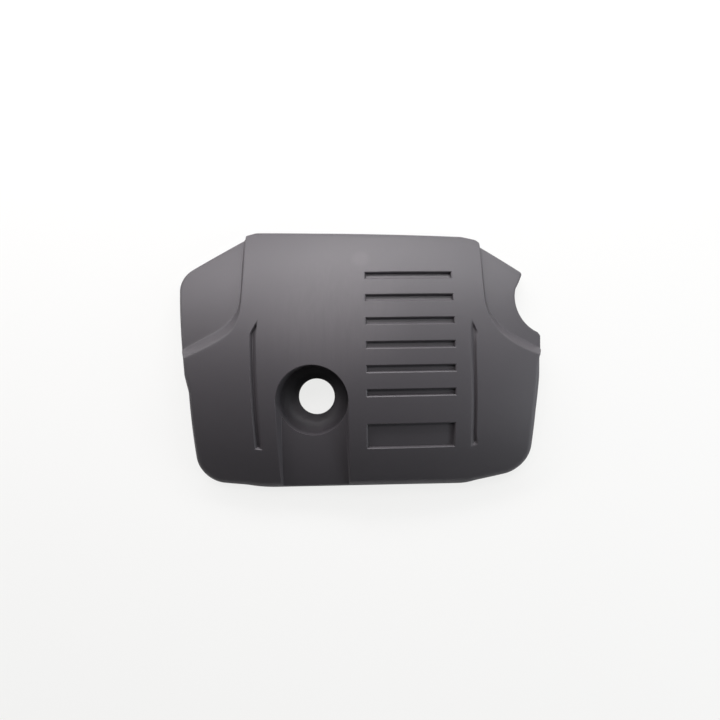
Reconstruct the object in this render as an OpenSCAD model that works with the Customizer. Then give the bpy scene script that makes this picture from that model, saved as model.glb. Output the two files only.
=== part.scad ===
// Engine bay cover: one barrel-crowned moulding with a lowered wing on each
// rear side, six grip slots, a bare badge pocket, a filler bowl with a run-out
// channel, and four rubber push-on grommets in holders on the underside.
// X is to the right, Y to the rear of the bay, Z up; the rim rests on z = 0.

/* [Crown] */
// height of the crown's highest line above the rim
crest_h = 80; // [72:1:100]
// radius of the crown from front to rear
crown_ry = 405; // [340:5:600]
// radius of the crown from side to side
crown_rx = 1520; // [900:20:3000]
// wall thickness of the moulding
wall = 2.8; // [2:0.1:4]
// radius of the outer edge all round
edge_r = 8; // [4:0.5:12]
// rise of the rim at the middle of each side
rim_lift = 20; // [0:1:30]

/* [Panel outline] */
// half length of the main body at the right
body_right = 267; // [250:0.5:290]
// half length of the main body at the left
body_left = 258; // [245:0.5:280]
// half length of the rear panel between the wings
panel_half = 188; // [170:1:200]
// distance from the middle to the rear edge
rear_y = 191.5; // [175:1:205]
// distance from the middle to the front edge line
front_y = 190; // [170:1:205]
// slope of the front face, run out for each mm down
front_slope = 0.34; // [0.05:0.01:0.5]

/* [Wings] */
// drop of the wings below the panel
step_h = 14; // [8:1:20]
// outer edge of the left wing
wing_left = 276; // [268:1:285]
// outer edge of the right wing
wing_right = 273; // [268:1:280]
// radius of the cut-out in the right wing
notch_r = 53; // [40:1:60]
// run of the slope from the panel down to a wing, where it faces the rear
step_run = 10.5; // [6:0.5:14]

/* [Grip slots] */
// number of slots
slot_n = 6; // [3:1:6]
// distance from slot to slot
slot_pitch = 33.8; // [28:0.2:36]
// length of a slot
slot_l = 129; // [90:1:135]
// width of a slot
slot_w = 11; // [6:0.5:16]
// depth of a slot
slot_d = 5; // [3:0.5:8]
// middle of the slots from side to side
slot_x = 74.8; // [70:0.2:80]
// middle of the rearmost slot
slot_y = 120; // [110:1:125]
// height of the badge pocket below the slots
badge_w = 38; // [24:1:40]

/* [Filler bowl and channel] */
// bowl middle from side to side
bowl_x = -67; // [-75:1:-60]
// bowl middle from front to rear
bowl_y = -60; // [-65:1:-50]
// bowl radius at the top
bowl_r = 52; // [45:1:55]
// filler hole radius
filler_r = 27.5; // [20:0.5:32]
// depth of the bowl below the crest
bowl_d = 62; // [45:1:66]
// radius of the curve from the bowl's wall to its floor
bowl_round = 22; // [12:1:24]
// depth of the channel below the crown, at the bowl
channel_d = 18; // [10:1:24]
// depth of the channel below the crown, at the front edge
channel_front_d = 6.5; // [4:0.5:18]
// run of each channel wall
channel_draft = 5.5; // [2:0.5:8]

/* [Side grooves] */
// width of a side groove
groove_w = 7.5; // [4:0.5:10]
// depth of a side groove
groove_d = 4.5; // [2:0.5:6]

/* [Fixings] */
// left rear holder, distance inward from the panel's side edge
holder_in = 42; // [36:1:48]
// holders at the front, distance inward from the body's left edge
holder_front_in = 53; // [45:1:65]
// left rear holder, distance forward from the rear edge
holder_rear_in = 39.5; // [32:0.5:48]
// front holders, distance rearward from the front edge line
holder_front_back = 58; // [48:1:70]
// outer radius of a holder
holder_r = 14; // [13:0.5:18]
// inner radius of a holder
socket_r = 11; // [9:0.5:12]
// depth of a holder's socket
socket_d = 13; // [10:1:16]
// height of the holders' mouths above the rim
mouth_z = 10; // [8:1:14]
// radius of the ball stud that a grommet takes
stud_r = 5; // [3:0.5:6]
// clearance round the stud
stud_clear = 0.15; // [0.05:0.05:0.4]
// thickness of a grommet's flange
flange_t = 2.5; // [1.5:0.5:4]
// height of the stiffening ribs
rib_h = 7; // [4:1:12]
// thickness of the stiffening ribs
rib_t = 1.8; // [1.2:0.1:3]

/* [Hidden] */
notch_x = 291;
filler = [bowl_x + 2, bowl_y + 3];
crown_x0 = 5.5;
crown_y0 = -7;
rim_run = 172;
arch_r = (rim_run * rim_run + rim_lift * rim_lift) / (2 * rim_lift);
holder_x = panel_half - holder_in;
holder_y = rear_y - holder_rear_in;
front_x = body_left - holder_front_in;
holders = [[-holder_x, holder_y], [holder_x + 6, holder_y - 12],
           [-front_x, holder_front_back - front_y], [front_x, holder_front_back - front_y]];

// Height of the crown's outer skin over a point of the plan
function crown(p) = crest_h - crown_rx
  + sqrt(pow(crown_rx - crown_ry + sqrt(crown_ry * crown_ry - pow(p.y - crown_y0, 2)), 2)
         - pow(p.x - crown_x0, 2));
function unit(v) = v / norm(v);
function mix(a, b, t) = a * (1 - t) + b * t;
// Corners are [x, y, fillet radius]; each gives its point, or an arc
function corner(c, i) = let(
    n = len(c), p = [c[i].x, c[i].y], r = c[i][2],
    a = c[(i + n - 1) % n], b = c[(i + 1) % n],
    u = unit([a.x, a.y] - p), v = unit([b.x, b.y] - p),
    half = acos(max(-1, min(1, u * v))) / 2, turn = 180 - 2 * half,
    steps = max(1, ceil(turn / 15)), t = r / tan(half), m = p + unit(u + v) * r / sin(half),
    s = p + u * t - m, k = sign(u.x * v.y - u.y * v.x))
  r == 0 ? [p] :
  [for (j = [0:steps]) let(w = -k * turn * j / steps)
    m + [s.x * cos(w) - s.y * sin(w), s.x * sin(w) + s.y * cos(w)]];
// The rounded outline, moved inward by d
function outline(c, d = 0) = let(p = [for (i = [0:len(c) - 1]) each corner(c, i)], n = len(p))
  [for (i = [0:n - 1]) let(e = unit(p[i] - p[(i + n - 1) % n]), f = unit(p[(i + 1) % n] - p[i]), m = unit(e + f))
    p[i] + [-m.y, m.x] * d / max(0.7, m * f)];

panel = [
  [body_right, 2, 6], [panel_half - 3, 38, 84],
  [panel_half + 1, rear_y - 7, 16], [-70, rear_y + 3.5, 300], [-panel_half + 15, rear_y + 9, 12],
  [-panel_half + 20, 42, 58], [-body_left, 5, 6],
  [-body_left + 0.5, -20, 30], [-body_left + 6.5, -46, 30],
  [-body_left + 7, -front_y + 6, 46], [-153, -front_y - 12.5, 120],
  [166, -front_y - 9.5, 60], [body_right - 4.5, -front_y + 13, 52],
  [body_right - 4, -80, 60], [body_right, -30, 60]];
left_wing = [
  [-150, 60, 0], [-150, 150, 0], [-165, 183, 0], [-180, 187.5, 0], [-wing_left, 131, 36],
  [-wing_left + 12, 12, 6], [-wing_left + 26, 6, 0], [-200, 2, 0]];
right_wing = concat(
  [[200, 2, 0], [258, 2, 0], [wing_right, 7, 6], [wing_right + 1, 31, 5]],
  [for (a = [246:-12.5:158]) [notch_x + notch_r * cos(a), 85 + notch_r * sin(a), 0]],
  [[247, 112, 3], [255, 127.5, 6], [195, 169.5, 0], [178, 164, 0], [165, 150, 0], [165, 60, 0]]);

// Upper edges of the two slopes, each from the side edge to the rear
slope_right = [[body_right - 4, 3.4, 0], [panel_half - 3, 38, 84], [panel_half + 0.4, rear_y - 34, 0]];
slope_left = [[-panel_half + 18.3, rear_y - 24, 0], [-panel_half + 20, 42, 58], [-body_left + 6, 7.2, 0]];
function along(c) = [c[0], each corner(c, 1), c[2]];
function flat(c, cut) = let(q = [for (p = along(c)) [p.x, p.y]], n = len(q))
  [q[0] + unit(q[1] - q[0]) * cut, for (i = [1:n - 2]) q[i], q[n - 1] + unit(q[n - 2] - q[n - 1]) * cut];

// Points of an arc about c from angle a to b
function arc(c, r, a, b, n) = [for (i = [0:n]) c + r * [cos(mix(a, b, i / n)), sin(mix(a, b, i / n))]];

// Front to rear section of the crowned body: the crown's arc, a rounded edge
// at each end, a sloped front face and an upright rear face. Its first
// coordinate is the distance from the axis that the section turns about
module section(cut) {
  o = [crown_rx - crown_ry, -crown_y0];
  r = crown_ry - cut;
  e = edge_r - min(cut, edge_r - 2);
  fy = front_y - cut - e - o.y;
  ry = rear_y + 8 - cut - e + o.y;
  af = asin(fy / (r - e));
  ar = asin(ry / (r - e));
  cf = o + (r - e) * [cos(af), sin(af)];
  cr = o + (r - e) * [cos(ar), -sin(ar)];
  slope = atan(front_slope);
  tf = cf + e * [sin(slope), cos(slope)];
  low = crown_rx - crest_h - 30;
  polygon(concat([[low, tf.y + (tf.x - low) * tan(slope)]],
    arc(cf, e, 90 - slope, af, 4), arc(o, r, af, -ar, 22), arc(cr, e, -ar, -90, 4),
    [[low, cr.y - e]]));
}

// The section turned from side to side, lowered by drop
module barrel(cut, drop = 0) {
  translate([crown_x0, 0, crest_h - crown_rx - drop]) rotate([90, 0, 0])
    rotate_extrude(angle = 26, start = 77, $fn = 256) section(cut);
}

// The slope under an upper edge: its top runs from inside the panel to inside
// the wing, and it is steep where it faces the side. Lower by cut for the inside
module slope(c, cut) {
  p = flat(c, cut);
  n = len(p);
  d = cut * 1.55;
  foot = cut > 0 ? -10 : 4;
  rings = [for (i = [0:n - 1]) let(
      e = unit(p[min(i + 1, n - 1)] - p[max(i - 1, 0)]), m = [e.y, -e.x],
      w = mix(3.5, step_run, max(0, m.y)), k = step_h / w,
      a = p[i] - m * 1.2, b = p[i] + m * (w + 1.5),
      za = crown(p[i]) - d - 0.3, zb = crown(p[i]) - d - step_h - 1.5 * k)
    [[a.x, a.y, za], [b.x, b.y, zb], [b.x, b.y, foot], [a.x, a.y, foot]]];
  polyhedron(
    points = [for (r = rings) each r],
    faces = concat([[0, 1, 2], [0, 2, 3]],
      [for (i = [0:n - 2], j = [0:3]) let(q = 4 * i + j, r = 4 * i + (j + 1) % 4)
        each [[q, q + 4, r], [r, q + 4, r + 4]]],
      [let(z = 4 * n - 4) each [[z + 2, z + 1, z], [z + 3, z + 2, z]]]));
}

// The outside or, with a cut of one wall, the inside of the whole shell
module form(cut) {
  z = cut > 0 ? -20 : 0;
  intersection() {
    barrel(cut);
    translate([0, 0, z]) linear_extrude(crest_h + 30) polygon(outline(panel, cut));
  }
  for (w = [left_wing, right_wing]) intersection() {
    barrel(cut, step_h);
    translate([0, 0, z]) linear_extrude(crest_h + 30) polygon(outline(w, cut));
  }
  for (c = [slope_right, slope_left]) slope(c, cut);
}

// Places children at the crown's height over p, leaning with the crown
module on_crown(p) {
  translate([p.x, p.y, crown(p)])
    rotate([-asin((p.y - crown_y0) / crown_ry), 0, 0])
      rotate([0, asin((p.x - crown_x0) / crown_rx), 0]) children();
}

// A block with upright rounded corners, its floor d below the origin
module pocket(l, w, r, d) {
  translate([0, 0, -d]) linear_extrude(d + 12) {
    square([l - 2 * r, w], center = true);
    square([l, w - 2 * r], center = true);
    for (x = [-1, 1], y = [-1, 1]) translate([x * (l / 2 - r), y * (w / 2 - r)]) circle(r);
  }
}

// Slots and badge pocket; grow makes the floors and walls under them
module grips(grow) {
  for (i = [0:slot_n - 1])
    on_crown([slot_x, slot_y - i * slot_pitch])
      pocket(slot_l + 2 * grow, slot_w + 2 * grow, 2 + grow, slot_d + grow);
  on_crown([slot_x, slot_y - slot_n * slot_pitch - badge_w / 2 + 10])
    pocket(slot_l + 2 * grow, badge_w + 2 * grow, 2 + grow, slot_d + grow);
}

// The bowl's profile: a steep wall, a quarter round and the hole's edge
module bowl(grow) {
  z = crest_h - bowl_d - grow;
  r = bowl_round + grow;
  translate([bowl_x, bowl_y, 0]) rotate_extrude() {
    translate([0, z]) square([bowl_r + grow - r, crest_h + 5 - z]);
    translate([0, z + r]) square([bowl_r + grow, crest_h + 5 - z - r]);
    intersection() {
      translate([bowl_r + grow - r, z + r]) circle(r);
      translate([0, z]) square([bowl_r + grow, r]);
    }
  }
}

// The channel gets shallower from the bowl out to the front face
module channel(grow) {
  ys = [for (i = [0:7]) bowl_y - i * (215 + bowl_y) / 7];
  hw = bowl_r + grow;
  rings = [for (y = ys) let(z = crown([bowl_x, y]), k = channel_draft / channel_d,
      d = mix(channel_d, channel_front_d, (bowl_y - y) / (bowl_y + front_y)) + grow)
    [[bowl_x - hw + k * d, y, z - d], [bowl_x + hw - k * d, y, z - d],
     [bowl_x + hw + k * 12, y, z + 12], [bowl_x - hw - k * 12, y, z + 12]]];
  polyhedron(
    points = [for (r = rings) each r],
    faces = concat([[0, 1, 2], [0, 2, 3], [30, 29, 28], [31, 30, 28]],
      [for (k = [0:6], i = [0:3]) let(a = 4 * k + i, b = 4 * k + (i + 1) % 4)
        each [[a, a + 4, b], [b, a + 4, b + 4]]]));
}

// A styling groove beside the panel, with a slanted point at the rear
module groove(grow) {
  for (i = [0:2]) let(y = 39 - 27 - i * 55.5, x = 1.6 * i)
    on_crown([-150 + x, y])
      translate([0, 0, -groove_d - grow]) linear_extrude(groove_d + grow + 8)
        if (i == 0)
          polygon([[-groove_w / 2 - grow, -31], [groove_w / 2 + grow, -31], [groove_w / 2 + grow, 27],
                   [groove_w / 2 + 4 + grow, 50 + grow], [-groove_w / 2 - grow, 27 + grow]]);
        else
          polygon([[-groove_w / 2 - grow + (i == 2 ? 1 : 0), -29 - (i == 2 ? grow + 3 : 0)],
                   [groove_w / 2 + grow + (i == 2 ? 4 : 0), -31 - (i == 2 ? grow + 3 : 0)],
                   [groove_w / 2 + grow, 29], [-groove_w / 2 - grow, 29]]);
}

// Stiffening ribs of one height under the crown
module ribs() {
  difference() {
    for (r = [[-60, 4, -60, 176], [-158, 40, -122, -20], [-236, -90, -160, -90], [180, -90, 240, -90],
              [0, -146, 150, -146], [60, -176, 60, -146], [-150, 100, 0, 100]])
      translate([r[0], r[1], 0]) rotate([0, 0, atan2(r[3] - r[1], r[2] - r[0])])
        translate([0, -rib_t / 2, 0]) cube([norm([r[2] - r[0], r[3] - r[1]]), rib_t, crest_h + 5]);
    barrel(0, wall + rib_h);
  }
}

// Holder towers from the mouth up into the skin
module holders_solid() {
  for (h = holders) translate([h.x, h.y, mouth_z]) {
    cylinder(r = holder_r, h = crest_h, $fn = 96);
    for (a = [45:90:315]) rotate([0, 0, a]) translate([0, -rib_t / 2, 6]) cube([holder_r + 7, rib_t, crest_h]);
  }
}

module cover() {
  color([0.2, 0.19, 0.2]) difference() {
    form(0);
    difference() {
      form(wall);
      grips(wall);
      groove(wall);
      translate([20, 0, 0]) mirror([1, 0, 0]) groove(wall);
      bowl(wall);
      channel(wall);
      ribs();
      holders_solid();
    }
    grips(0);
    groove(0);
    translate([20, 0, 0]) mirror([1, 0, 0]) groove(0);
    bowl(0);
    channel(0);
    translate([filler.x, filler.y, -1]) cylinder(r = filler_r, h = crest_h, $fn = 128);
    translate([-300, 0, rim_lift - arch_r]) rotate([0, 90, 0]) cylinder(r = arch_r, h = 600, $fn = 360);
    for (h = holders) translate([h.x, h.y, mouth_z - 1]) cylinder(r = socket_r, h = socket_d + 1, $fn = 96);
  }
}

// A push-on grommet: a body in the socket, a flange under the mouth, and a
// throat for the stud with a flared lead-in
module grommet(h) {
  color([0.07, 0.07, 0.07]) translate([h.x, h.y, mouth_z]) difference() {
    union() {
      translate([0, 0, -flange_t]) cylinder(r = holder_r + 1, h = flange_t, $fn = 96);
      cylinder(r = socket_r, h = socket_d - 2, $fn = 96);
    }
    translate([0, 0, -flange_t - 1]) cylinder(r = stud_r + stud_clear, h = flange_t + socket_d, $fn = 96);
    translate([0, 0, -flange_t - 0.01])
      cylinder(r1 = stud_r + 2, r2 = stud_r + stud_clear, h = 1.5, $fn = 96);
  }
}

cover();
grommet(holders[0]);  // grommet_rear_left
grommet(holders[1]);  // grommet_rear_right
grommet(holders[2]);  // grommet_front_left
grommet(holders[3]);  // grommet_front_right
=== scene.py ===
import math

import bmesh
import bpy
import numpy as np
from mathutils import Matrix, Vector
from mathutils.geometry import delaunay_2d_cdt


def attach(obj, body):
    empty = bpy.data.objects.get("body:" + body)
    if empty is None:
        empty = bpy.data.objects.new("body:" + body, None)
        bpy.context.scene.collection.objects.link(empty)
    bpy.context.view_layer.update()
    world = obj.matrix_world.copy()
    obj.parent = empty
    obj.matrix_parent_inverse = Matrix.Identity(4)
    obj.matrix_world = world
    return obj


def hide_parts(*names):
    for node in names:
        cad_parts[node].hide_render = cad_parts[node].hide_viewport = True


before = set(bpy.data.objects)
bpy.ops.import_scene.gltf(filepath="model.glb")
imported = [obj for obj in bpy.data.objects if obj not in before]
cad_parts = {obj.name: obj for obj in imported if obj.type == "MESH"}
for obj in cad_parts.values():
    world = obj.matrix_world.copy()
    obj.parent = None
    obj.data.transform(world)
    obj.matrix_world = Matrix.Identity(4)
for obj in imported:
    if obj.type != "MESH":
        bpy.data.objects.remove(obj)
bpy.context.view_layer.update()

# Dimensions of the cover, in millimetres
# height, radii and middle of the crown
CREST, RY, RX = 79.97, 405.0, 1520.0
CX0, CY0 = 5.5, -7.0
# wall thickness, drop of the wings, half width and lift of the rim's arch at the sides
WALL, STEP = 2.8, 14.0
RIM_RUN, RIM_LIFT = 172.0, 20.0
ARCH_R = (RIM_RUN ** 2 + RIM_LIFT ** 2) / (2 * RIM_LIFT)
# filler bowl and hole: middles, radii, floor height, round of the bowl's foot, run and steepness of its wall
BOWL, HOLE = (-67.0, -60.0), (-65.0, -57.0)
BOWL_R, HOLE_R, BOWL_Z, BOWL_ROUND = 52.0, 27.5, 18.0, 22.0
BOWL_RUN, BOWL_STEEP = 0.9, 34
HOLE_EDGE, HOLE_LEVEL = 1.2, 2.5
# channel: depth at the bowl and at the front, and the run of its walls
CHANNEL_D, CHANNEL_FRONT_D, CHANNEL_FRONT_Y, CHANNEL_RUN = 18.0, 6.5, -190, 5.5
# underside: grommet holders, height of their mouth, radii of their sleeve, ribs
HOLDERS = {"rear_left": (-146, 152), "rear_right": (152, 140),
           "front_left": (-205, -132), "front_right": (205, -132)}
MOUTH, SLEEVE_IN, SLEEVE_OUT, SLEEVE_DEEP = 10.0, 11.0, 14.0, 13
RIB_THICK, RIB_HIGH = 1.8, 7
RIBS = [(-60, 4, -60, 176), (-158, 40, -122, -20), (-236, -90, -160, -90), (180, -90, 240, -90),
        (0, -146, 150, -146), (60, -176, 60, -146), (-150, 100, 0, 100)]
SKIN_SHARP, PIECE_SHARP = math.radians(28), math.radians(40)


def crown(x, y):
    """Height of the crown's skin."""
    a = np.sqrt(RY ** 2 - (y - CY0) ** 2)
    return CREST - RX + np.sqrt((RX - RY + a) ** 2 - (x - CX0) ** 2)


def rim(y):
    """Height of the rim, arched at the sides."""
    a = np.sqrt(np.maximum(ARCH_R ** 2 - y ** 2, 0)) - ARCH_R + RIM_LIFT
    return np.maximum(a, 0.0)


# Plan outlines
def rounded(corners, arc_step=6.0, gap=4.0):
    """A closed outline from corners (x, y, fillet, *values), evenly spaced, with its values."""
    out = []
    n = len(corners)
    for i, c in enumerate(corners):
        p, r, vals = np.array(c[:2], float), c[2], list(c[3:])
        a, b = np.array(corners[i - 1][:2], float), np.array(corners[(i + 1) % n][:2], float)
        u, v = (a - p) / np.linalg.norm(a - p), (b - p) / np.linalg.norm(b - p)
        if r <= 0:
            out.append(list(p) + vals)
            continue
        half = math.acos(np.clip(u @ v, -1, 1)) / 2
        t = r / math.tan(half)
        m = p + (u + v) / np.linalg.norm(u + v) * r / math.sin(half)
        s = p + u * t - m
        turn = math.pi - 2 * half
        k = -math.copysign(1, u[0] * v[1] - u[1] * v[0])
        steps = max(3, int(math.degrees(turn) / arc_step), int(turn * r / gap))
        for j in range(steps + 1):
            w = k * turn * j / steps
            out.append([m[0] + s[0] * math.cos(w) - s[1] * math.sin(w),
                        m[1] + s[0] * math.sin(w) + s[1] * math.cos(w)] + vals)
    out = np.array(out)
    full = []
    for i in range(len(out)):
        a, b = out[i], out[(i + 1) % len(out)]
        k = max(1, int(math.ceil(np.linalg.norm(b[:2] - a[:2]) / gap)))
        full += [a + (b - a) * j / k for j in range(k)]
    return np.array(full)


def outward(p):
    """Outward unit normals of a closed outline that runs anticlockwise."""
    e = np.roll(p[:, :2], -1, 0) - p[:, :2]
    e /= np.maximum(np.linalg.norm(e, axis=1), 1e-9)[:, None]
    m = e + np.roll(e, 1, 0)
    m /= np.linalg.norm(m, axis=1)[:, None]
    k = 1 / np.maximum(0.7, (m * e).sum(1))
    return np.stack([m[:, 1], -m[:, 0]], 1) * k[:, None]


def signed(poly, q):
    """Distance of points q inside the outline (negative outside), with its values there."""
    a = poly[:, :2]
    b = np.roll(a, -1, 0)
    ab = b - a
    best = np.full(len(q), 1e9)
    vals = np.zeros((len(q), poly.shape[1] - 2))
    inside = np.zeros(len(q), bool)
    nxt = np.roll(poly, -1, 0)
    for s in range(0, len(q), 4000):
        p = q[s:s + 4000]
        ap = p[:, None] - a[None]
        t = np.clip((ap * ab).sum(2) / np.maximum((ab * ab).sum(1), 1e-12), 0, 1)
        d = np.linalg.norm(ap - t[..., None] * ab, axis=2)
        i = d.argmin(1)
        r = np.arange(len(p))
        best[s:s + 4000] = d[r, i]
        ti = t[r, i][:, None]
        vals[s:s + 4000] = poly[i, 2:] * (1 - ti) + nxt[i, 2:] * ti
        y0, y1 = a[None, :, 1], b[None, :, 1]
        hit = (y0 > p[:, None, 1]) != (y1 > p[:, None, 1])
        x = a[None, :, 0] + (p[:, None, 1] - y0) / np.where(y1 == y0, 1e-9, y1 - y0) * ab[None, :, 0]
        inside[s:s + 4000] = (hit & (p[:, None, 0] < x)).sum(1) % 2 == 1
    return np.where(inside, best, -best), vals


# The whole outline: x, y, fillet, radius of the upper edge, slope of the face under it
CUT_OUT, CUT_OUT_R = (291, 85), 53
WING_RIGHT = [(266.8, -2, 8, 6, .06), (273.2, 8, 5, 4, .06), (273.8, 31, 5, 3, .06)] + [
    (CUT_OUT[0] + CUT_OUT_R * math.cos(math.radians(a)),
     CUT_OUT[1] + CUT_OUT_R * math.sin(math.radians(a)), 0, 3, .06) for a in np.arange(246, 158, -4.0)] + [
    (247, 112, 3, 3, .06), (255, 127.5, 6, 3.5, .06), (190.8, 172.3, 1.5, 3.5, .06)]
REAR = [(189.8, 174.8, 2, 4.5, .06), (183.5, 181, 14, 5, .06), (161, 186.2, 25, 5, .06),
        (-70, 195, 300, 6, .06), (-157, 199.2, 20, 6, .06), (-172.8, 193.8, 2, 4, .06)]
WING_LEFT = [(-174, 191, 1, 3.5, .06), (-275.7, 131, 36, 5, .06), (-264, 14, 5, 4, .06)]
FRONT = [(-258, 3, 6, 5, .06), (-257.5, -20, 30, 8, .06), (-251.5, -46, 30, 8, .06), (-251, -184, 46, 9, .12),
         (-153, -201, 240, 9, .34), (167, -199.3, 90, 9, .34), (262.5, -171.5, 52, 9, .12),
         (263, -80, 60, 8, .06), (267, -30, 60, 8, .06)]
OUTER = rounded(WING_RIGHT + REAR + WING_LEFT + FRONT)


def curve(points, n=90):
    """An open line through points, smoothed and evenly spaced."""
    q = np.array(points, float)
    for _ in range(3):
        m = np.repeat(q, 2, 0)[1:-1]
        m[::2], m[1::2] = q[:-1] * .75 + q[1:] * .25, q[:-1] * .25 + q[1:] * .75
        q = np.concatenate([q[:1], m, q[-1:]])
    d = np.concatenate([[0], np.cumsum(np.linalg.norm(np.diff(q, axis=0), axis=1))])
    t = np.linspace(0, d[-1], n)
    return np.stack([np.interp(t, d, q[:, 0]), np.interp(t, d, q[:, 1])], 1)


# Steps down to the wings: the upper line, the lower line, and a corner far outside
STEPS = [
    (curve([(300, -12), (261.5, 3), (246.5, 8), (223.5, 20), (204.5, 35), (194.5, 51), (188.5, 63),
            (185.5, 74), (184.5, 90), (184.5, 110), (185.5, 147), (187.5, 176), (189.5, 230)]),
     curve([(302, -3), (268, 13), (252.5, 20), (232.5, 29.5), (213.5, 41.5), (202, 54.5), (194.8, 65),
            (191, 76), (189.6, 92), (189.4, 112), (190.2, 148), (191.5, 177), (193, 230)]),
     (400, 230), (400, -12)),
    (curve([(-300, -14), (-254.5, 5), (-245.5, 8.5), (-216.5, 21), (-197.5, 31), (-184.5, 40),
            (-175.5, 51), (-170.5, 67), (-168, 88), (-168.5, 144), (-170.5, 183), (-172, 230)]),
     curve([(-302, -3), (-259.5, 18), (-241.5, 26.5), (-211.5, 41), (-198, 49.5), (-186, 60.5),
            (-177, 73), (-173.8, 90), (-173.6, 112), (-174.5, 148), (-175.5, 185), (-176.5, 230)]),
     (-400, 230), (-400, -14))]


def step(x, y):
    """0 on the panel, 1 on a wing, and in between on the slope."""
    q = np.stack([x, y], 1)
    out = np.zeros(len(x))
    for upper, lower, far_a, far_b in STEPS:
        c = signed(np.concatenate([upper, [far_a, far_b]]), q)[0]
        f = -signed(np.concatenate([lower, [far_a, far_b]]), q)[0]
        t = np.where(c <= 0, c / 10, np.where(f <= 0, 1 - f / 10, c / np.maximum(c + f, 1e-6)))
        out = np.maximum(out, ramp(t, 1, 1, .1))
    return out


def base(x, y):
    """Height of the skin without its rounded edge and its pockets."""
    return crown(x, y) - STEP * step(x, y)


def groove(pairs):
    """A groove's upper edge and floor line from pairs of points, both cut into the same number of pieces."""
    edge, bed = (np.array([p[k] for p in pairs], float) for k in (0, 1))
    n = [max(1, int(np.linalg.norm(edge[(i + 1) % len(edge)] - edge[i]) / 4)) for i in range(len(edge))]
    return [np.array([line[i] + (line[(i + 1) % len(line)] - line[i]) * j / n[i]
                      for i in range(len(line)) for j in range(n[i])]) for line in (edge, bed)]


# side grooves: depth, then upper edge and floor line point by point, from the rear tip round
GROOVES = [
    (5.4, *groove([((-142.0, 61), (-146.0, 48)), ((-145.6, 38), (-150.4, 38)), ((-144.4, -18), (-150.2, -18)),
                   ((-143.2, -72), (-149.6, -72)), ((-142.4, -124), (-148.8, -123)),
                   ((-140.8, -132.4), (-148.4, -128.2)), ((-153.4, -130.0), (-150.0, -127.4)),
                   ((-153.6, -72), (-150.8, -72)), ((-154.2, -18), (-151.4, -18)), ((-154.4, 38), (-151.6, 38))])),
    (3.8, *groove([((162.6, 57), (166.0, 44)), ((161.0, 42), (165.6, 38)), ((160.4, 0), (165.4, 0)),
                   ((161.6, -60), (166.4, -60)), ((162.4, -112), (167.2, -111)), ((162.8, -132.0), (168.0, -125.0)),
                   ((173.2, -128.4), (169.6, -123.6)), ((170.6, -112), (168.2, -112)), ((169.6, -60), (167.4, -60)),
                   ((168.6, 0), (166.4, 0)), ((169.6, 26), (166.8, 28)), ((171.6, 34.5), (168.2, 38))]))]

# grip slots and the badge pocket: middle and width of each, in y; length, corner radius and depth of all
SLOT_X, SLOT_L, SLOT_W, SLOT_D, SLOT_CORNER = 74.8, 129.0, 11.6, 5.4, 1.2
SLOT_Y, PITCH = 120.3, 33.8
POCKETS = [(SLOT_Y - i * PITCH, SLOT_W) for i in range(6)] + [(-111.8, 38.0)]
# chamfered lip and the wall under it
LIP, LIP_D, SLOT_RUN = 1.3, 0.95, 1.2


def in_pocket(pocket, x, y):
    """Distance inside a slot's or the pocket's edge."""
    cy, w = pocket
    ax, ay = np.abs(x - SLOT_X) - SLOT_L / 2 + SLOT_CORNER, np.abs(y - cy) - w / 2 + SLOT_CORNER
    return SLOT_CORNER - np.hypot(np.maximum(ax, 0), np.maximum(ay, 0)) - np.minimum(np.maximum(ax, ay), 0)


def in_u(x, y):
    """Distance inside the U of bowl and channel."""
    dx, dy = x - BOWL[0], y - BOWL[1]
    return np.where(dy > 0, BOWL_R - np.hypot(dx, dy), BOWL_R - np.abs(dx))


def channel_depth(y):
    """Depth of the channel's floor, shallower to the front."""
    t = (BOWL[1] - y) / (BOWL[1] - CHANNEL_FRONT_Y)
    return CHANNEL_D + (CHANNEL_FRONT_D - CHANNEL_D) * np.maximum(t, 0)


def ramp(d, run, depth, e):
    """A wall from 0 down to depth over run, with rounded top and foot of half width e * run."""
    def q(t):
        return np.where(t < 0, 0, np.where(t < 1, t * t / 2, t - 0.5))
    t = d / run
    return depth * (q(t + e) - q(t - e)) / (2 * e)


def soft_max(a, b, k):
    """The larger of a and b, with a soft change over k."""
    h = np.clip(0.5 + (a - b) / (2 * k), 0, 1)
    return b * (1 - h) + a * h + k * h * (1 - h)


def edge_width(r, slope, h):
    """Plan width of a rounded edge and the sloped face under it."""
    a = np.arctan(slope)
    return r * np.cos(a) + slope * np.maximum(h - r * (1 - np.sin(a)), 0)


def edge_drop(t, r, slope):
    """Drop at a plan distance t out from where the rounding starts."""
    a = np.arctan(slope)
    arc = r - np.sqrt(np.maximum(r ** 2 - np.clip(t, 0, None) ** 2, 0))
    face = r * (1 - np.sin(a)) + (t - r * np.cos(a)) / slope
    return np.where(t <= 0, 0, np.where(t < r * np.cos(a), arc, face))


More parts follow.
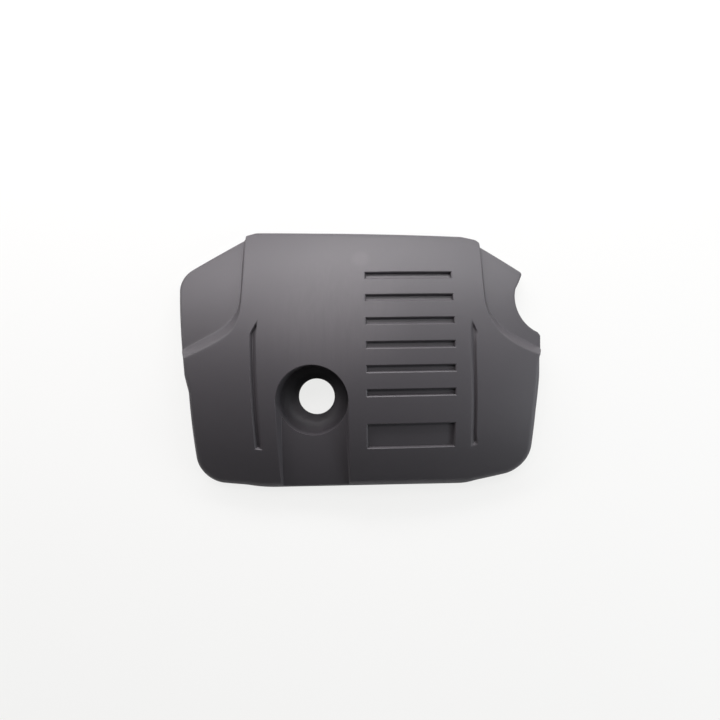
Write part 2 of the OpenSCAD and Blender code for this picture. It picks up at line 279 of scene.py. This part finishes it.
def top(x, y):
    """Height of the cover's upper skin at each point of the plan."""
    q = np.stack([x, y], 1)
    zc = crown(x, y)
    zb = base(x, y)
    d, v = signed(OUTER, q)
    r, slope = v[:, 0], v[:, 1]
    z = zb - edge_drop(edge_width(r, slope, zb - rim(y)) - d, r, slope)
    z = np.maximum(z, rim(y))
    # pockets, grooves, channel and bowl go down from the crown
    for pocket in POCKETS:
        d = in_pocket(pocket, x, y)
        z = z - ramp(d, LIP, LIP_D, 0.01) - ramp(d - LIP, SLOT_RUN, SLOT_D - LIP_D, 0.01)
    for deep, edge, bed in GROOVES:
        c, f = signed(edge, q)[0], -signed(bed, q)[0]
        t = np.where(c <= 0, c / 4, np.where(f <= 0, 1, c / np.maximum(c + f, 1e-6)))
        z = z - ramp(t, 1, deep, .08)
    u = in_u(x, y)
    depth = channel_depth(y)
    floor = zc - ramp(u, CHANNEL_RUN / CHANNEL_D * depth, depth, 0.16)
    rho = np.hypot(x - BOWL[0], y - BOWL[1])
    c = rho - (BOWL_R - BOWL_ROUND)
    bowl = BOWL_Z + BOWL_ROUND - np.sqrt(np.maximum(BOWL_ROUND ** 2 - np.clip(c, 0, BOWL_ROUND) ** 2, 0))
    wall = BOWL_Z + BOWL_ROUND + (rho - BOWL_R + BOWL_RUN) * BOWL_STEEP
    bowl = np.where(rho > BOWL_R - BOWL_RUN, wall, bowl)
    rho = np.hypot(x - HOLE[0], y - HOLE[1])
    bowl = bowl - HOLE_EDGE * np.clip((HOLE_R + HOLE_EDGE - rho) / HOLE_EDGE, 0, 1) ** 2
    low = -soft_max(-floor, -bowl, 1.2)
    low = np.where(u > -1.2, low, z)
    return np.where(u > -1.2, np.minimum(z, low), z)


# The plan's layout: every edge has its own lines, and a grid fills the rest
def ring(poly, d):
    """An outline moved out by d."""
    return poly[:, :2] + outward(poly) * np.asarray(d).reshape(-1, 1)


def layout():
    """Points and triangles of the plan inside the outline and outside the filler hole."""
    loops = []
    r, s = OUTER[:, 2], OUTER[:, 3]
    start = edge_width(r, s, base(OUTER[:, 0], OUTER[:, 1]) - rim(OUTER[:, 1]))
    cos = np.cos(np.arctan(s))
    loops.append(OUTER[:, :2])
    for k in (-0.25, 0, 0.26, 0.5, 0.71, 0.87, 0.97):
        loops.append(ring(OUTER, r * cos * k - start))
    lines = []
    for upper, lower, _, _ in STEPS:
        for k in (-.3, -.1, 0, .1, .3, .5, .7, .9, 1, 1.1, 1.3):
            line = upper * (1 - k) + lower * k
            lines.append(line[signed(OUTER, line)[0] > 0.4])
    for cy, w in POCKETS:
        for d in (1.2, 0, -LIP, -LIP - SLOT_RUN, -3.4):
            a, b, q = SLOT_L / 2 + d, w / 2 + d, max(SLOT_CORNER + d, 0.2)
            loops.append(rounded([(SLOT_X + a, cy + b, q), (SLOT_X - a, cy + b, q),
                                  (SLOT_X - a, cy - b, q), (SLOT_X + a, cy - b, q)], 22, 4.5)[:, :2])
    for _, edge, bed in GROOVES:
        for k in (-.08, .08, .5, .92, 1):
            loops.append(edge * (1 - k) + bed * k)
    a = np.radians(np.linspace(0, 180, 56))
    u = np.concatenate([np.stack([np.cos(a), np.sin(a)], 1) * BOWL_R,
                        [[-BOWL_R, -k * 4.0] for k in range(1, 42)],
                        [[BOWL_R, -k * 4.0] for k in range(41, 0, -1)]]) + np.array(BOWL)
    for d in (1.6, .88, .3, -.3, -.88, -4.6, -5.0, -5.5, -6.0, -6.4):
        loops.append(ring(u, d * channel_depth(u[:, 1]) / CHANNEL_D))
    a = np.radians(np.arange(0, 360, 3.0))
    for mid, radii in ((BOWL, (54.5, 53, 52.4, 52, 51.6, 51.1, 50, 48, 45.5, 42.5, 39, 36)),
                       (HOLE, (31.3, 29.6, 28.7, 28.3, 27.9, HOLE_R))):
        for rad in radii:
            loops.append(np.stack([np.cos(a), np.sin(a)], 1) * rad + np.array(mid))
    pts = np.concatenate(loops + lines)
    edges = []
    n = 0
    for i, loop in enumerate(loops + lines):
        m = len(loop)
        edges += [(n + j, n + (j + 1) % m) for j in range(m if i < len(loops) else m - 1)]
        n += m
    # the filling grid keeps clear of the lines
    gx, gy = np.meshgrid(np.arange(-273, 275, 5.0), np.arange(-200, 200, 5.0))
    g = np.stack([gx.ravel(), gy.ravel()], 1)
    cell = {}
    for p in pts:
        cell.setdefault((int(p[0] // 3), int(p[1] // 3)), []).append(p)
    keep = []
    for p in g:
        i, j = int(p[0] // 3), int(p[1] // 3)
        near = any((o[0] - p[0]) ** 2 + (o[1] - p[1]) ** 2 < 5.5
                   for di in (-1, 0, 1) for dj in (-1, 0, 1) for o in cell.get((i + di, j + dj), ()))
        if not near:
            keep.append(p)
    pts = np.concatenate([pts, np.array(keep)])
    v, _, f, *_ = delaunay_2d_cdt([Vector(p) for p in pts], edges, [], 0, 1e-4)
    v = np.array([list(p) for p in v])
    f = np.array([list(t) for t in f])
    c = v[f].mean(1)
    dom = signed(OUTER, c)[0] > 0
    dom &= np.hypot(c[:, 0] - HOLE[0], c[:, 1] - HOLE[1]) > HOLE_R - 0.01
    return v, f[dom]


def add_mesh(name, bm, slot, node):
    """A piece in the scene from its mesh, with its material and the solid that it replaces."""
    me = bpy.data.meshes.new(name)
    for f in bm.faces:
        f.smooth = True
    bm.to_mesh(me)
    bm.free()
    ob = bpy.data.objects.new(name, me)
    bpy.context.scene.collection.objects.link(ob)
    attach(ob, "root")
    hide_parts(node)
    ob.data.materials.append(MATS[slot])
    return ob


# Materials
def nodes_of(mat):
    """Nodes, links and shader of a new material."""
    mat.use_nodes = True
    return mat.node_tree.nodes, mat.node_tree.links, mat.node_tree.nodes["Principled BSDF"]


def plastic():
    """Moulded dark grey plastic: fine grain, random tone, one blush, and a painted highlight: a pale patch standing
    in for the lamps' broad sheen on the crown, with faint flow marks in it.
    """
    mat = bpy.data.materials.new("cover_plastic")
    N, L, bsdf = nodes_of(mat)
    place = N.new("ShaderNodeTexCoord").outputs["Object"]

    def noise(scale, detail, vector=place, distortion=0.0):
        n = N.new("ShaderNodeTexNoise")
        n.inputs["Scale"].default_value = scale
        n.inputs["Detail"].default_value = detail
        n.inputs["Distortion"].default_value = distortion
        L.new(vector, n.inputs["Vector"])
        return n.outputs["Fac"]

    def patch(middle, far, near):
        """1 within near metres of the middle, 0 past far."""
        away = N.new("ShaderNodeVectorMath")
        away.operation = "DISTANCE"
        away.inputs[1].default_value = middle
        L.new(place, away.inputs[0])
        fade = N.new("ShaderNodeMapRange")
        fade.interpolation_type = "SMOOTHERSTEP"
        fade.inputs["From Min"].default_value = far
        fade.inputs["From Max"].default_value = near
        L.new(away.outputs["Value"], fade.inputs["Value"])
        return fade.outputs["Result"]

    def math_node(op, *values):
        n = N.new("ShaderNodeMath")
        n.operation = op
        for k, v in enumerate(values):
            if isinstance(v, float):
                n.inputs[k].default_value = v
            else:
                L.new(v, n.inputs[k])
        return n.outputs[0]

    # painted highlight: a paler patch left of middle on the crown stands in for the lamps' broad sheen there; faint
    # flow marks vary it
    painted_sheen = patch((-0.035, 0.060, 0.070), 0.15, 0.02)
    blush = patch((0.0055, 0.146, 0.048), 0.019, 0.006)
    along = N.new("ShaderNodeVectorMath")
    along.operation = "MULTIPLY"
    along.inputs[1].default_value = (1.0, 0.09, 1.0)
    L.new(place, along.inputs[0])
    flow = noise(140.0, 2.0, along.outputs["Vector"], 0.6)
    sheen_and_flow = math_node("MULTIPLY", painted_sheen, math_node("MULTIPLY_ADD", flow, 0.55, 0.22))
    tone = math_node("MULTIPLY_ADD", noise(9.0, 4.0), 0.3, sheen_and_flow)
    tone = math_node("MULTIPLY_ADD", blush, 0.35, tone)
    mix = N.new("ShaderNodeMix")
    mix.data_type = "RGBA"
    mix.inputs["A"].default_value = (0.0420, 0.0388, 0.0428, 1)
    mix.inputs["B"].default_value = (0.0680, 0.0630, 0.0670, 1)
    L.new(tone, mix.inputs["Factor"])
    L.new(mix.outputs["Result"], bsdf.inputs["Base Color"])
    bsdf.inputs["Roughness"].default_value = 0.52
    bump = N.new("ShaderNodeBump")
    bump.inputs["Strength"].default_value = 0.25
    bump.inputs["Distance"].default_value = 0.0004
    L.new(noise(900.0, 2.0), bump.inputs["Height"])
    L.new(bump.outputs["Normal"], bsdf.inputs["Normal"])
    return mat


def rubber():
    mat = bpy.data.materials.new("grommet_rubber")
    bsdf = nodes_of(mat)[2]
    bsdf.inputs["Base Color"].default_value = (0.02, 0.02, 0.02, 1)
    bsdf.inputs["Roughness"].default_value = 0.7
    return mat


MATS = {"cover_plastic": plastic(), "grommet_rubber": rubber()}

# The cover's skin
plan, tris = layout()
height = top(plan[:, 0], plan[:, 1])
outer = np.column_stack([plan, height])
a, b, c = (outer[tris[:, k]] for k in range(3))
face_n = np.cross(b - a, c - a)
up = face_n[:, 2] < 0
tris[up] = tris[up][:, ::-1]
face_n[up] *= -1
face_n /= np.maximum(np.linalg.norm(face_n, axis=1), 1e-12)[:, None]
# normals weighted by the angle of each corner
normal = np.zeros_like(outer)
for k in range(3):
    p, q, r = (outer[tris[:, (k + m) % 3]] for m in range(3))
    u, w = q - p, r - p
    u /= np.maximum(np.linalg.norm(u, axis=1), 1e-9)[:, None]
    w /= np.maximum(np.linalg.norm(w, axis=1), 1e-9)[:, None]
    np.add.at(normal, tris[:, k], face_n * np.arccos(np.clip((u * w).sum(1), -1, 1))[:, None])
sides = np.concatenate([tris[:, [0, 1]], tris[:, [1, 2]], tris[:, [2, 0]]])
key = np.sort(sides, 1)
_, first, count = np.unique(key, axis=0, return_index=True, return_counts=True)
border = sides[first[count == 1]]
# the wall is level at the rim, and upright round the filler hole
edge = np.unique(border)
at_hole = np.hypot(outer[:, 0] - HOLE[0], outer[:, 1] - HOLE[1]) < HOLE_R + HOLE_LEVEL
normal[edge, 2] = 0
normal[at_hole] = (0, 0, 1)
normal /= np.maximum(np.linalg.norm(normal, axis=1), 1e-9)[:, None]
inner = outer - normal * WALL
inner[:, 2] = np.maximum(inner[:, 2], rim(inner[:, 1]))
bm = bmesh.new()
up = [bm.verts.new(co) for co in outer / 1000]
down = [bm.verts.new(co) for co in inner / 1000]
for i, j, k in tris:
    bm.faces.new((up[i], up[j], up[k]))
    bm.faces.new((down[k], down[j], down[i]))
for i, j in border:
    bm.faces.new((up[j], up[i], down[i], down[j]))
bmesh.ops.delete(bm, geom=[v for v in bm.verts if not v.link_faces], context="VERTS")
bm.normal_update()
for e in bm.edges:
    e.smooth = e.calc_face_angle(0) < SKIN_SHARP
cover = add_mesh("cover_skin", bm, "cover_plastic", "cover")
wn = cover.modifiers.new("normals", "WEIGHTED_NORMAL")
wn.keep_sharp = True
wn.weight = 80


# The underside: holders with gussets, ribs, and the grommets
def skin(x, y):
    """Height inside the shell's wall, where ribs and holders run in."""
    return top(np.atleast_1d(np.float64(x)), np.atleast_1d(np.float64(y))) - 1.5


def turned(bm, centre, profile, n=72):
    """Spins a profile of (radius, height) about an upright axis; one that starts on the axis closes there."""
    mid = Vector((centre[0], centre[1], 0)) / 1000
    line = [bm.verts.new(mid + Vector((r, 0, z)) / 1000) for r, z in profile]
    ends = list(zip(line, line[1:])) + ([(line[-1], line[0])] if profile[0][0] > 0 else [])
    edges = [bm.edges.new(e) for e in ends]
    bmesh.ops.spin(bm, geom=line + edges, cent=mid, axis=(0, 0, 1), angle=2 * math.pi, steps=n, use_merge=True)
    bmesh.ops.remove_doubles(bm, verts=bm.verts[:], dist=1e-6)


def blade(bm, x, y, low, nose=0.5):
    """A thin upright wall along the points x, y, from low up into the skin, with its lower edges rounded."""
    n = len(x)
    high = skin(x, y)
    side = Vector((y[0] - y[-1], x[-1] - x[0], 0)).normalized() * RIB_THICK / 1000
    sheet = bmesh.ops.create_grid(bm, x_segments=n - 1, y_segments=1, size=1)["verts"]
    feet = set()
    for v in sheet:
        k, foot = round((v.co.x + 1) / 2 * (n - 1)), v.co.y < 0
        v.co = Vector((x[k], y[k], low[k] if foot else high[k])) / 1000 - side / 2
        if foot:
            feet.add(v)
    made = bmesh.ops.extrude_face_region(bm, geom=list({f for v in sheet for f in v.link_faces}))["geom"]
    far = {v for v in made if isinstance(v, bmesh.types.BMVert)}
    bmesh.ops.translate(bm, verts=list(far), vec=side)
    far_feet = {e.other_vert(v) for v in feet for e in v.link_edges} & far
    long = {e for row in (feet, far_feet) for v in row for e in v.link_edges if e.other_vert(v) in row}
    bmesh.ops.bevel(bm, geom=list(long), offset=nose / 1000, offset_type="OFFSET", segments=2, profile=0.5,
                    affect="EDGES", material=-1)


for corner, (hx, hy) in HOLDERS.items():
    # holder: a sleeve open below, closed in the skin, with four gussets
    bm = bmesh.new()
    turned(bm, (hx, hy), [
        (0, MOUTH + SLEEVE_DEEP), (SLEEVE_IN - .4, MOUTH + SLEEVE_DEEP), (SLEEVE_IN, MOUTH + SLEEVE_DEEP - .4),
        (SLEEVE_IN, MOUTH + .8), (SLEEVE_IN + .2, MOUTH + .25), (SLEEVE_IN + .7, MOUTH),
        (SLEEVE_OUT - .8, MOUTH), (SLEEVE_OUT - .25, MOUTH + .25), (SLEEVE_OUT, MOUTH + .8),
        (SLEEVE_OUT, CREST), (0, CREST)])
    for v in bm.verts:
        if v.co.z > (CREST - 1) / 1000:
            v.co.z = skin(v.co.x * 1000, v.co.y * 1000)[0] / 1000
    for a in np.radians([45, 135, 225, 315]):
        r = np.array([13.2, 14.4, 16, 18, 20, 21])
        blade(bm, hx + r * np.cos(a), hy + r * np.sin(a), MOUTH + 6 + np.array([0, 0, 0, .6, 2.2, 4.2]))
    bmesh.ops.recalc_face_normals(bm, faces=bm.faces[:])
    add_mesh("holder_" + corner, bm, "cover_plastic", "cover").data.set_sharp_from_angle(angle=PIECE_SHARP)
    # grommet: flange, body with two sealing rings, flared throat
    bm = bmesh.new()
    f, e = MOUTH - 2.5, MOUTH + 11
    turned(bm, (hx, hy), [
        (7.1, f), (14.2, f), (14.76, f + .24), (15, f + .8), (15, MOUTH - .9), (14.8, MOUTH - .4),
        (14.4, MOUTH - .06), (11.0, MOUTH - .05), (10.8, MOUTH + .9), (10.8, MOUTH + 1.9), (11, MOUTH + 2.4),
        (11, MOUTH + 3.4), (10.8, MOUTH + 3.9), (10.8, MOUTH + 5.6), (11, MOUTH + 6.1), (11, MOUTH + 7.1),
        (10.8, MOUTH + 7.6), (10.6, e - 1.2), (10.2, e - .35), (9.4, e), (5.4, e), (5.15, e - .3),
        (5.15, MOUTH + 5), (5.3, MOUTH + 4.4), (5.3, MOUTH + 2.6), (5.15, MOUTH + 2), (5.15, f + 1.6),
        (5.6, f + .9), (6.3, f + .3)])
    bmesh.ops.recalc_face_normals(bm, faces=bm.faces[:])
    add_mesh("grommet_skin_" + corner, bm, "grommet_rubber",
             "grommet_" + corner).data.set_sharp_from_angle(angle=PIECE_SHARP)

bm = bmesh.new()
for x0, y0, x1, y1 in RIBS:
    n = max(4, int(math.hypot(x1 - x0, y1 - y0) / 5))
    x, y = np.linspace(x0, x1, n), np.linspace(y0, y1, n)
    blade(bm, x, y, crown(x, y) - WALL - RIB_HIGH)
bmesh.ops.recalc_face_normals(bm, faces=bm.faces[:])
add_mesh("ribs", bm, "cover_plastic", "cover").data.set_sharp_from_angle(angle=PIECE_SHARP)

# Floor, light and camera
floor_mesh = bpy.data.meshes.new("floor")
bm = bmesh.new()
bmesh.ops.create_grid(bm, x_segments=1, y_segments=1, size=6)
bm.to_mesh(floor_mesh)
bm.free()
floor = bpy.data.objects.new("floor", floor_mesh)
bpy.context.scene.collection.objects.link(floor)
fm = bpy.data.materials.new("floor")
N, L, bsdf = nodes_of(fm)
bsdf.inputs["Base Color"].default_value = (0.86, 0.86, 0.85, 1)
bsdf.inputs["Roughness"].default_value = 0.9
path = N.new("ShaderNodeLightPath")
white = N.new("ShaderNodeEmission")
white.inputs["Color"].default_value = (0.93, 0.93, 0.92, 1)
share = N.new("ShaderNodeMath")
share.operation = "MULTIPLY"
share.inputs[1].default_value = 0.86
mix = N.new("ShaderNodeMixShader")
L.new(path.outputs["Is Camera Ray"], share.inputs[0])
L.new(share.outputs[0], mix.inputs[0])
L.new(bsdf.outputs[0], mix.inputs[1])
L.new(white.outputs[0], mix.inputs[2])
L.new(mix.outputs[0], N["Material Output"].inputs["Surface"])
floor_mesh.materials.append(fm)


# soft panels: azimuth from the rear, elevation, power and colour
PANEL_FAR, PANEL_SIZE, AIM = 1.6, (0.9, 0.35), Vector((0, 0, 0.05))
PANELS = [(-35, 25, 12.8, (1.0, 0.96, 1.0)), (-35, 55, 6.2, (1.0, 0.96, 1.0)), (0, 25, 20.0, (1, 0.97, 0.99)),
          (0, 55, 6.0, (1, 0.97, 0.99)), (35, 25, 11.0, (0.97, 0.97, 1.0)), (35, 40, 2.0, (0.97, 0.97, 1.0)),
          (70, 45, 2.4, (0.90, 0.96, 1.0)), (106, 20, 9.0, (0.90, 0.95, 1.0)), (-70, 15, 4.0, (1, 1, 1))]
for i, (az, el, power, color) in enumerate(PANELS):
    a, e = math.radians(az), math.radians(el)
    lamp = bpy.data.lights.new("panel_%d" % i, "AREA")
    lamp.shape = "RECTANGLE"
    lamp.size, lamp.size_y = PANEL_SIZE
    lamp.energy = power
    lamp.color = color
    lamp_ob = bpy.data.objects.new("panel_%d" % i, lamp)
    lamp_ob.location = (PANEL_FAR * math.sin(a) * math.cos(e), PANEL_FAR * math.cos(a) * math.cos(e),
                        0.1 + PANEL_FAR * math.sin(e))
    lamp_ob.rotation_euler = (AIM - lamp_ob.location).to_track_quat("-Z", "Y").to_euler()
    bpy.context.scene.collection.objects.link(lamp_ob)
# the world lights dimly and shows white behind the floor
world = bpy.data.worlds.new("world")
bpy.context.scene.world = world
world.use_nodes = True
N, L = world.node_tree.nodes, world.node_tree.links
N["Background"].inputs["Color"].default_value = (1, 1, 1, 1)
seen = N.new("ShaderNodeLightPath")
glow = N.new("ShaderNodeMapRange")
glow.inputs["To Min"].default_value = 0.08
glow.inputs["To Max"].default_value = 0.93
L.new(seen.outputs["Is Camera Ray"], glow.inputs["Value"])
L.new(glow.outputs["Result"], N["Background"].inputs["Strength"])

cam = bpy.data.cameras.new("camera")
cam.sensor_width = 36
cam.lens = 433.57 * 36 / 720
cam_ob = bpy.data.objects.new("camera", cam)
cam_ob.location = (0.0025, -0.002, 0.687)
cam_ob.rotation_euler = (0, 0, -0.016)
bpy.context.scene.collection.objects.link(cam_ob)
bpy.context.scene.camera = cam_ob
bpy.context.scene.view_settings.view_transform = "Standard"
